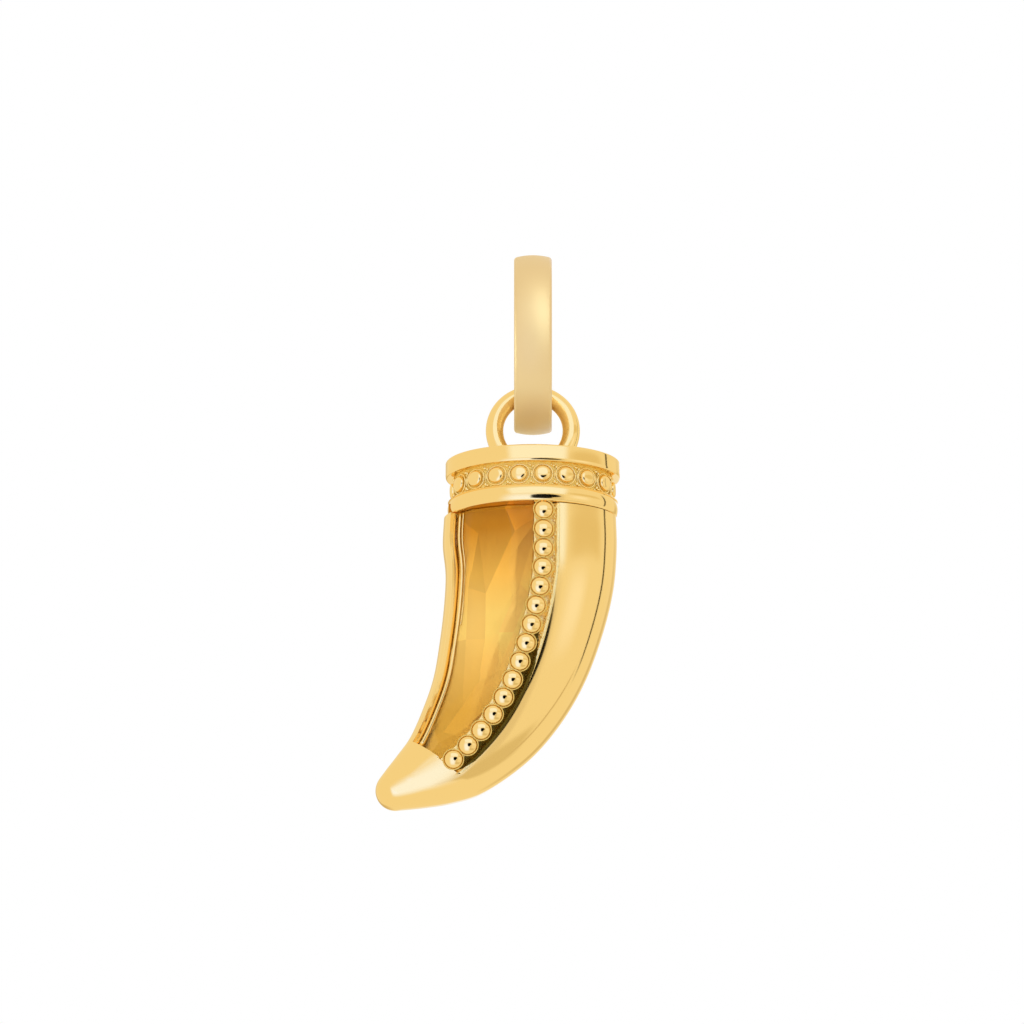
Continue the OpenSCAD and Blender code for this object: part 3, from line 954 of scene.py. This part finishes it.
class PENDANT_OT_cap_beads(bpy.types.Operator):
    """Model one cell of the cap's bead ring and copy it round the channel"""
    bl_idname = "pendant.cap_beads"
    bl_label = "Cap beads"

    def execute(self, context):
        sizes = context.scene.pendant_cap
        wall = CAP_RADIUS - sizes.channel_cut
        middle = LOOP_CENTRE.z - sizes.drop - sizes.upper - sizes.channel / 2
        places = self.bead_places(sizes, wall, middle)
        bead = button("cap_bead", sizes.bead_radius, CAP_BEAD_FORM)
        ring = join(copies(bead, places), "cap_bead_ring")
        shade(ring)
        finish_piece(ring, bright_gold())
        cups = join(copies(self.make_cup(sizes), places), "cap_bead_cups")
        shade(cups, 60)
        finish_piece(cups, groove_gold())
        ground = self.make_ground(sizes, wall, middle)
        shade(ground, 60)
        finish_piece(ground, shaded_cast_gold())
        return {"FINISHED"}

    def bead_places(self, sizes, wall, middle):
        """The place and turn of each bead, evenly spaced along the oval channel."""
        across = wall + sizes.bead_out
        depth = wall * CAP_DEPTH + sizes.bead_out
        samples = 720
        line = [Vector((across * math.sin(FULL_TURN * i / samples),
                        -depth * math.cos(FULL_TURN * i / samples), middle))
                for i in range(samples + 1)]
        lengths = running_lengths(line)
        places = []
        for k in range(sizes.beads):
            way = (sizes.first_bead + k * lengths[-1] / sizes.beads) % lengths[-1]
            place, step = place_at(line, lengths, way)
            facing = math.atan2(place.x / wall ** 2, -place.y / (wall * CAP_DEPTH) ** 2)
            places.append((place, Euler((0, 0, facing))))
        return places

    def make_cup(self, sizes):
        """The dished cup of one bead that faces the front, with grains at its side."""
        gap, wire, sunk, grain_sunk = 0.12 * MM, 0.055 * MM, 0.05 * MM, 0.07 * MM
        deselect()
        bpy.ops.mesh.primitive_torus_add(
            major_radius=sizes.bead_radius + gap, minor_radius=wire,
            major_segments=28, minor_segments=8,
            location=(0, sunk, 0), rotation=(math.pi / 2, 0, 0))
        parts = [apply_place(bpy.context.object)]
        for x, z, radius, tall in CUP_GRAINS:
            deselect()
            bpy.ops.mesh.primitive_uv_sphere_add(
                segments=12, ring_count=8, radius=MM, scale=(radius, radius, tall),
                location=(x * MM, grain_sunk, z * MM))
            parts.append(apply_place(bpy.context.object))
        return join(parts, "bead_cup")

    def make_ground(self, sizes, wall, middle):
        """The rough ground of the channel, a thin sleeve on its wall."""
        skin = 0.02 * MM
        half = sizes.channel / 2 + skin
        corners = [(0, -wall + skin, middle - half), (0, -wall - skin, middle - half),
                   (0, -wall - skin, middle + half), (0, -wall + skin, middle + half)]
        return spin_piece("channel_ground", corners + corners[:1], 128, (0, 0, 1),
                          depth=CAP_DEPTH)


class PENDANT_OT_claw(bpy.types.Operator):
    """Model the hollow claw with its window and the groove of its beads"""
    bl_idname = "pendant.claw"
    bl_label = "Claw"

    def execute(self, context):
        sizes = context.scene.pendant_claw
        piece = empty_mesh("claw_shell")
        places = [WINDOW_END * i / 36 for i in range(37)] + [GROOVE_END]
        places += [GROOVE_END + (LAST_SECTION - GROOVE_END) * i / 12 for i in range(1, 13)]
        sections = [(s, Section(s)) for s in places]
        counts = (18, 6) + (1,) * len(SHOULDER) + (52,)
        for s, section in sections:
            left = rim_angle(sizes, section)
            columns = [-sizes.strip, sizes.strip]
            columns += [sizes.strip + share * sizes.lean for share, sink in SHOULDER]
            angles = [left, *(row_angle(sizes, section, x) for x in columns), left + FULL_TURN]
            add_ring(angles, counts, section.half_width, section.half_depth,
                     section.across, section.middle)
        self.add_tip(sizes, section, angles, counts)
        bridge_all()
        self.close_tip(piece, sizes, section)
        close_and_face_out()
        near = NEAR * MM
        self.sink(piece, sizes, sections, -sizes.strip - near, sizes.strip + near, 1)
        for share, sink in SHOULDER[:-1]:
            x = sizes.strip + share * sizes.lean
            self.sink(piece, sizes, sections, x - near, x + near, sink)
        self.line_groove(piece, sizes, sections)
        self.open_window(piece, sizes, sections)
        add_modifier(piece, "SOLIDIFY", thickness=sizes.wall, offset=-1, use_even_offset=False)
        round_edges(piece, sizes.edge, segments=2)
        subdivide_smooth(piece)
        shade(piece)
        finish_piece(piece, polished_gold(), nodes=["claw_setting"])
        return {"FINISHED"}

    def tip_middle(self, sizes, end):
        """The middle of the round tip, and half the angle at which the claw opens on it."""
        opening = math.asin(end.half_width / sizes.tip_radius)
        return end.middle - end.along * sizes.tip_radius * math.cos(opening), opening

    def add_tip(self, sizes, end, angles, counts):
        """Rings of the round tip past the last section."""
        middle, opening = self.tip_middle(sizes, end)
        steps = 6
        for i in range(1, steps + 1):
            turn = opening + (LAST_RING - opening) * i / steps
            size = sizes.tip_radius * math.sin(turn)
            add_ring(angles, counts, size, size, end.across,
                     middle + end.along * sizes.tip_radius * math.cos(turn))

    def close_tip(self, piece, sizes, end):
        """Merges the last ring to one vertex."""
        pole = self.tip_middle(sizes, end)[0] + end.along * sizes.tip_radius
        reach = sizes.tip_radius * math.sin(2 * LAST_RING)
        select(piece, "VERT", lambda point: (point - pole).length < reach)
        bpy.ops.mesh.merge(type="CENTER")

    def sink(self, piece, sizes, sections, low, high, share):
        """Pushes the columns between two distances from the bead row below the surface."""
        select(piece, "VERT", between(sizes, sections, WINDOW_END + NEAR, low, high))
        bpy.ops.transform.shrink_fatten(value=-share * sizes.strip_depth)
        bpy.ops.object.mode_set(mode="OBJECT")

    def line_groove(self, piece, sizes, sections):
        """Copies the groove's floor and lower wall to a thin lining of rough cast gold."""
        lining = copy_of(piece)
        in_groove = between(
            sizes, sections, WINDOW_END, -sizes.strip, sizes.strip + sizes.lean)
        select(lining, "FACE", lambda point: not in_groove(point))
        bpy.ops.mesh.delete(type="FACE")
        bpy.ops.mesh.select_all(action="SELECT")
        bpy.ops.transform.shrink_fatten(value=sizes.lining_rise)
        bpy.ops.object.mode_set(mode="OBJECT")
        add_modifier(lining, "SOLIDIFY", thickness=sizes.lining, offset=-1)
        subdivide_smooth(lining)
        lining = join([lining] + self.make_grains(sizes), "groove_lining")
        shade(lining)
        self.mark_recess_shade(lining, sizes, sections)
        finish_piece(lining, groove_gold())
        deselect()
        bpy.context.view_layer.objects.active = piece
        piece.select_set(True)

    def make_grains(self, sizes):
        """The rough grains of the cast along the groove's right wall, copied from one."""
        deselect()
        bpy.ops.mesh.primitive_uv_sphere_add(segments=10, ring_count=6, radius=MM)
        bpy.ops.object.mode_set(mode="EDIT")
        bpy.ops.transform.vertex_random(
            offset=GRAIN_ROUGHNESS, uniform=0.3, seed=GRAIN_SEEDS[0])
        bpy.ops.object.mode_set(mode="OBJECT")
        grain = bpy.context.object
        chance = random.Random(GRAIN_SEEDS[1])
        grains = []
        for k in range(sizes.grains):
            s = 0.1 + (WINDOW_END - 0.2) * (k + chance.uniform(-0.4, 0.4)) / sizes.grains
            share = chance.uniform(*GRAIN_PLACES) * (0.55 + 0.45 * s / WINDOW_END)
            section = Section(s)
            phi = row_angle(sizes, section, sizes.strip + share * sizes.lean)
            radius = chance.uniform(*GRAIN_RADII)
            piece = copy_of(grain)
            piece.scale = (radius * chance.uniform(*GRAIN_WIDTHS), radius * 0.9,
                           radius * chance.uniform(*GRAIN_HEIGHTS))
            piece.location = section.point(phi, sizes.strip_depth * 0.75 * (1 - share) ** 2)
            piece.rotation_euler = Euler((0, chance.uniform(0, math.pi), 0))
            grains.append(apply_place(piece))
        bpy.data.objects.remove(grain)
        return grains

    def mark_recess_shade(self, piece, sizes, sections):
        """Stores how deep each vertex lies in the painted shade of the recess right of the lower
        beads.
        """
        depths = []
        for vertex in piece.data.vertices:
            s, phi = place_on_claw(vertex.co, sections)
            reach = 0.0
            for (a, low), (b, high) in zip(RECESS_SHADE, RECESS_SHADE[1:]):
                if s is not None and a <= s < b:
                    reach = low + (high - low) * (s - a) / (b - a)
            depth = 0.0
            if reach:
                x = (math.sin(phi) - math.sin(sizes.row_angle)) * Section(s).half_width
                inner = (x - sizes.strip + RECESS_SHADE_START) / RECESS_SHADE_FADES[0]
                outer = (sizes.strip + reach * sizes.lean - x) / RECESS_SHADE_FADES[1]
                depth = min(max(inner, 0), 1) * min(max(outer, 0), 1)
            depths.append(depth)
        layer = piece.data.attributes.new("recess", "FLOAT", "POINT")
        layer.data.foreach_set("value", depths)

    def open_window(self, piece, sizes, sections):
        """Takes the window's faces out."""
        select(piece, "FACE", between(sizes, sections, WINDOW_END, None, -sizes.strip))
        bpy.ops.mesh.delete(type="FACE")
        bpy.ops.object.mode_set(mode="OBJECT")


class PENDANT_OT_bead_row(bpy.types.Operator):
    """Model one bead of the row and its collar and copy them along the groove"""
    bl_idname = "pendant.bead_row"
    bl_label = "Bead row"

    def execute(self, context):
        sizes = context.scene.pendant_claw
        depth = sizes.strip_depth - sizes.bead_rise
        samples = 400
        reach = WINDOW_END + 1
        line = [Section(reach * i / samples).point(sizes.row_angle, depth)
                for i in range(samples + 1)]
        lengths = running_lengths(line)
        places = []
        for k in range(sizes.beads):
            place, step = place_at(line, lengths, sizes.first_bead + k * sizes.pitch)
            facing = self.facing(sizes, reach * step / samples)
            places.append((place, facing.to_track_quat("-Y", "Z").to_euler()))
        bead = button("row_bead", sizes.bead_radius, ROW_BEAD_FORM)
        row = join(copies(bead, places), "claw_bead_row")
        shade(row)
        finish_piece(row, bright_gold())
        rims = join(copies(self.make_collar(sizes), places), "claw_bead_collars")
        shade(rims)
        finish_piece(rims, shaded_collar_gold())
        return {"FINISHED"}

    def make_collar(self, sizes):
        """The pressed rim round one bead: a round crest with a flank that falls outwards."""
        inner = sizes.bead_radius - 0.015 * MM
        outer = inner + 0.075 * MM
        middle, shoulder, foot = 0.12 * MM, 0.14 * MM, 0.18 * MM
        crest = arc(inner + sizes.collar, middle, sizes.collar, 180, 300, 6)
        outline = crest + [(outer, shoulder), (outer, foot), (inner, foot), crest[0]]
        return spin_piece("bead_collar", [(r, y, 0) for r, y in outline], 36, (0, 1, 0))

    def facing(self, sizes, s):
        """The way the claw's surface faces under the bead row."""
        step = 0.01
        along = (Section(s + step).point(sizes.row_angle)
                 - Section(max(s - step, 0)).point(sizes.row_angle))
        section = Section(s)
        across = (section.point(sizes.row_angle + step)
                  - section.point(sizes.row_angle - step))
        return across.cross(along).normalized()


class PENDANT_OT_stone(bpy.types.Operator):
    """Finish the clear stone and model the coloured facets at its back"""
    bl_idname = "pendant.stone"
    bl_label = "Stone"

    def execute(self, context):
        node = frame["nodes"]["stone"]
        clear = clear_stone()
        for slot in node.material_slots:
            slot.material = clear
        normal, middle = self.table_plane(node)
        piece = empty_mesh("stone_facets")
        corners = [self.behind_table(normal, middle, *corner) for corner in STONE_CORNERS]
        for facet_light, facet in STONE_FACETS:
            points = [corners[i] for i in facet]
            add_chain(points + points[:1])
            bpy.ops.mesh.select_linked()
            bpy.ops.mesh.remove_doubles(threshold=DOUBLE)
            bpy.ops.mesh.edge_face_add()
        merge_all()
        bpy.ops.mesh.normals_make_consistent(inside=False)
        bpy.ops.object.mode_set(mode="OBJECT")
        self.set_facet_light(piece, corners)
        deselect()
        thickness = context.scene.pendant_stone.facet
        add_modifier(piece, "SOLIDIFY", thickness=thickness, offset=0)
        finish_piece(piece, honey_facets())
        return {"FINISHED"}

    def table_plane(self, node):
        """The way the stone's table faces and a point on it, from its largest plane."""
        areas = {}
        for face in node.data.polygons:
            key = tuple(round(value, 2) for value in face.normal)
            area, middle = areas.get(key, (0.0, Vector()))
            areas[key] = (area + face.area, middle + face.center * face.area)
        key = max(areas, key=lambda k: areas[k][0])
        area, middle = areas[key]
        return Vector(key).normalized(), middle / area

    def behind_table(self, normal, middle, x, z, sink):
        """A point at X and Z, at a distance behind the table."""
        x, z, sink = x * MM, z * MM, sink * MM
        beside = normal.x * (x - middle.x) + normal.z * (z - middle.z)
        return Vector((x, middle.y - (sink + beside) / normal.y, z))

    def set_facet_light(self, piece, corners):
        """Gives each facet its painted light."""
        middles = [sum((corners[i] for i in facet), Vector()) / len(facet)
                   for facet_light, facet in STONE_FACETS]
        facet_lights = []
        for face in piece.data.polygons:
            points = [piece.data.vertices[i].co for i in face.vertices]
            centre = sum(points, Vector()) / len(points)
            nearest = min(range(len(middles)), key=lambda i: (middles[i] - centre).length)
            facet_lights.append(STONE_FACETS[nearest][0])
        layer = piece.data.attributes.new("facet_light", "FLOAT", "FACE")
        layer.data.foreach_set("value", facet_lights)


class PENDANT_OT_bezel(bpy.types.Operator):
    """Model the ribs of the bezel along the stone's left edge"""
    bl_idname = "pendant.bezel"
    bl_label = "Bezel"

    def execute(self, context):
        claw = context.scene.pendant_claw
        rib = context.scene.pendant_stone.rib
        steps = 40
        parts = []
        for x, depth, start, end, first, last in BEZEL_RIBS:
            points, radii = [], []
            for i in range(steps + 1):
                section = Section(start + (end - start) * i / steps)
                points.append(section.point(rim_angle(claw, section, x * MM), depth * MM))
                radii.append(rib * (first + (last - first) * i / steps))
            parts.append(self.make_rib(points, radii))
        piece = join(parts, "bezel_ribs")
        shade(piece)
        finish_piece(piece, polished_gold())
        return {"FINISHED"}

    def make_rib(self, points, radii):
        """A round rib through the points, closed at both ends."""
        piece = empty_mesh("rib")
        for i, (point, radius) in enumerate(zip(points, radii)):
            along = points[min(i + 1, len(points) - 1)] - points[max(i - 1, 0)]
            bpy.ops.mesh.primitive_circle_add(
                vertices=10, radius=radius, fill_type="NOTHING", location=point,
                rotation=along.to_track_quat("Z", "Y").to_euler())
        bridge_all()
        bpy.context.tool_settings.mesh_select_mode = (True, False, False)
        bpy.ops.mesh.select_all(action="DESELECT")
        bpy.ops.mesh.select_non_manifold(extend=False)
        bpy.ops.mesh.edge_face_add()
        close_and_face_out()
        return piece


class PENDANT_OT_stage(bpy.types.Operator):
    """Set up the floor, the soft light and the camera"""
    bl_idname = "pendant.stage"
    bl_label = "Stage"

    def execute(self, context):
        values = context.scene.pendant_stage
        self.make_world(values)
        self.make_floor()
        self.make_panels()
        self.make_camera(context, values)
        context.scene.view_settings.view_transform = "Standard"
        return {"FINISHED"}

    def make_world(self, values):
        """White surroundings, warmer in what reflects them."""
        world = bpy.data.worlds.new("studio")
        bpy.context.scene.world = world
        world.use_nodes = True
        tree = world.node_tree
        tree.nodes.clear()
        seen, day, fill = [
            new_node(tree, "ShaderNodeBackground", (0, y), (*colour, 1), strength)
            for y, colour, strength in ((300, (1, 1, 1), 1.0), (100, (1, 1, 1), values.daylight),
                                        (-100, values.fill, 1.0))]
        ray = new_node(tree, "ShaderNodeLightPath", (0, 700)).outputs
        outside = maths(tree, "GREATER_THAN", (0, 500),
                        ray["Is Glossy Ray"], ray["Is Transmission Ray"])
        mirrored = new_node(tree, "ShaderNodeMixShader", (250, 0), outside, day, fill)
        mix = new_node(tree, "ShaderNodeMixShader", (450, 0),
                       ray["Is Camera Ray"], mirrored, seen)
        new_node(tree, "ShaderNodeOutputWorld", (650, 0), mix)

    def make_floor(self):
        """A plain pale floor, well below the hanging pendant."""
        deselect()
        bpy.ops.mesh.primitive_circle_add(
            vertices=96, radius=FLOOR_RADIUS, fill_type="NGON", location=(0, 0, FLOOR_LEVEL))
        floor = bpy.context.object
        floor.name = "floor"
        material, tree = new_material("pale_floor")
        feed(tree.nodes["Principled BSDF"], Base_Color=(0.93, 0.93, 0.93, 1), Roughness=0.6)
        floor.data.materials.append(material)
        floor.visible_glossy = False

    def make_panels(self):
        """The bright panels in front, the darker gaps between them and the bail's lights."""
        for row in PANELS:
            self.make_panel(*row)
        lit = bpy.data.collections.new("lit_bail")
        lit.objects.link(bpy.data.objects["bail_band"])
        for *row, matt in BAIL_LIGHTS:
            glow = self.make_panel(*row, 1.0)
            glow.visible_diffuse = matt
            glow.light_linking.receiver_collection = lit
            glow.light_linking.blocker_collection = lit

    def make_panel(self, name, azimuth, elevation, halves, colour, distance, soft, tilt=0.0):
        """A soft-edged panel, seen only in the pendant's reflections.

        The angles are degrees: azimuth from the front to the right, elevation from level,
        and the half spread of its width and height.
        """
        deselect()
        turn, lift = math.radians(azimuth), math.radians(elevation)
        way = Vector((math.sin(turn) * math.cos(lift), -math.cos(turn) * math.cos(lift),
                      math.sin(lift)))
        facing = way.to_track_quat("Z", "Y").to_matrix() @ Euler(
            (0, 0, math.radians(tilt))).to_matrix()
        bpy.ops.mesh.primitive_plane_add(
            size=2, location=STUDIO_CENTRE + way * distance, rotation=facing.to_euler())
        panel = bpy.context.object
        panel.name = name
        panel.scale = [distance * math.tan(math.radians(half)) for half in halves] + [1]
        panel.data.materials.append(self.panel_light(name, colour, soft))
        panel.visible_camera = False
        panel.visible_diffuse = False
        panel.visible_transmission = False
        panel.visible_shadow = False
        return panel

    def panel_light(self, name, colour, soft):
        """The light of a panel, which fades out towards its edges."""
        material, tree = new_material(name)
        tree.nodes.clear()
        place = own_place(tree, (-1000, 0))
        parts = new_node(tree, "ShaderNodeSeparateXYZ", (-800, 0), place).outputs
        if name in ROUND_PANELS:
            across = new_node(tree, "ShaderNodeVectorMath", (-600, 0), place,
                              settings={"operation": "LENGTH"}).outputs["Value"]
        else:
            across = maths(tree, "ABSOLUTE", (-600, 0), parts["X"])
        up = maths(tree, "ABSOLUTE", (-600, -200), parts["Y"])
        fades = [
            new_node(tree, "ShaderNodeMapRange", (-400, y), way, 1.0, 1.0 - soft,
                     settings={"interpolation_type": "SMOOTHSTEP"})
            for y, way in ((0, across), (-200, up))]
        mask = maths(tree, "MULTIPLY", (-200, 0), *fades)
        clear = new_node(tree, "ShaderNodeBsdfTransparent", (0, 200))
        light = new_node(tree, "ShaderNodeEmission", (0, -200), (*colour, 1), 1.0)
        if name.startswith("bail"):
            feed(light, Strength=mask)
            mix = new_node(tree, "ShaderNodeAddShader", (200, 0), clear, light)
        else:
            mix = new_node(tree, "ShaderNodeMixShader", (200, 0), mask, clear, light)
        new_node(tree, "ShaderNodeOutputMaterial", (400, 0), mix)
        return material

    def make_camera(self, context, values):
        """The camera below the pendant, looking up at it through a long lens."""
        look = Vector((0, math.cos(values.elevation), math.sin(values.elevation)))
        bpy.ops.object.camera_add(
            location=AIM - look * values.distance,
            rotation=look.to_track_quat("-Z", "Y").to_euler())
        camera = context.object
        camera.name = "photo_camera"
        camera.data.sensor_width = 36
        camera.data.lens = camera.data.sensor_width * values.distance / values.width
        context.scene.camera = camera


# ------------------------------------------------------------------ panel and registration

class PENDANT_PT_panel(bpy.types.Panel):
    """The pendant's pieces and settings in the 3D view's sidebar"""
    bl_idname = "PENDANT_PT_panel"
    bl_label = "Claw pendant"
    bl_space_type = "VIEW_3D"
    bl_region_type = "UI"
    bl_category = "Pendant"

    def draw(self, context):
        column = self.layout.column(align=True)
        for operator in PIECES:
            column.operator(operator.bl_idname)
        for name in SETTINGS:
            settings = getattr(context.scene, name)
            box = self.layout.box()
            box.label(text=settings.bl_rna.description)
            for key in settings.bl_rna.properties.keys():
                if key not in ("rna_type", "name"):
                    box.prop(settings, key)


SETTINGS = {
    "pendant_metal": MetalSettings,
    "pendant_stone": StoneSettings,
    "pendant_bail": BailSettings,
    "pendant_cap": CapSettings,
    "pendant_claw": ClawSettings,
    "pendant_stage": StageSettings,
}
PIECES = (
    PENDANT_OT_bail,
    PENDANT_OT_loop,
    PENDANT_OT_cap,
    PENDANT_OT_cap_beads,
    PENDANT_OT_claw,
    PENDANT_OT_bead_row,
    PENDANT_OT_stone,
    PENDANT_OT_bezel,
    PENDANT_OT_stage,
)


def register():
    for name, settings in SETTINGS.items():
        bpy.utils.register_class(settings)
        setattr(bpy.types.Scene, name, PointerProperty(type=settings))
    for operator in PIECES:
        bpy.utils.register_class(operator)
    bpy.utils.register_class(PENDANT_PT_panel)


def unregister():
    bpy.utils.unregister_class(PENDANT_PT_panel)
    for operator in reversed(PIECES):
        bpy.utils.unregister_class(operator)
    for name, settings in SETTINGS.items():
        delattr(bpy.types.Scene, name)
        bpy.utils.unregister_class(settings)


def main():
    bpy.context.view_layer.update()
    register()
    bpy.ops.pendant.bail()
    bpy.ops.pendant.loop()
    bpy.ops.pendant.cap()
    bpy.ops.pendant.cap_beads()
    bpy.ops.pendant.claw()
    bpy.ops.pendant.bead_row()
    bpy.ops.pendant.stone()
    bpy.ops.pendant.bezel()
    bpy.ops.pendant.stage()


if __name__ == "__main__":
    main()
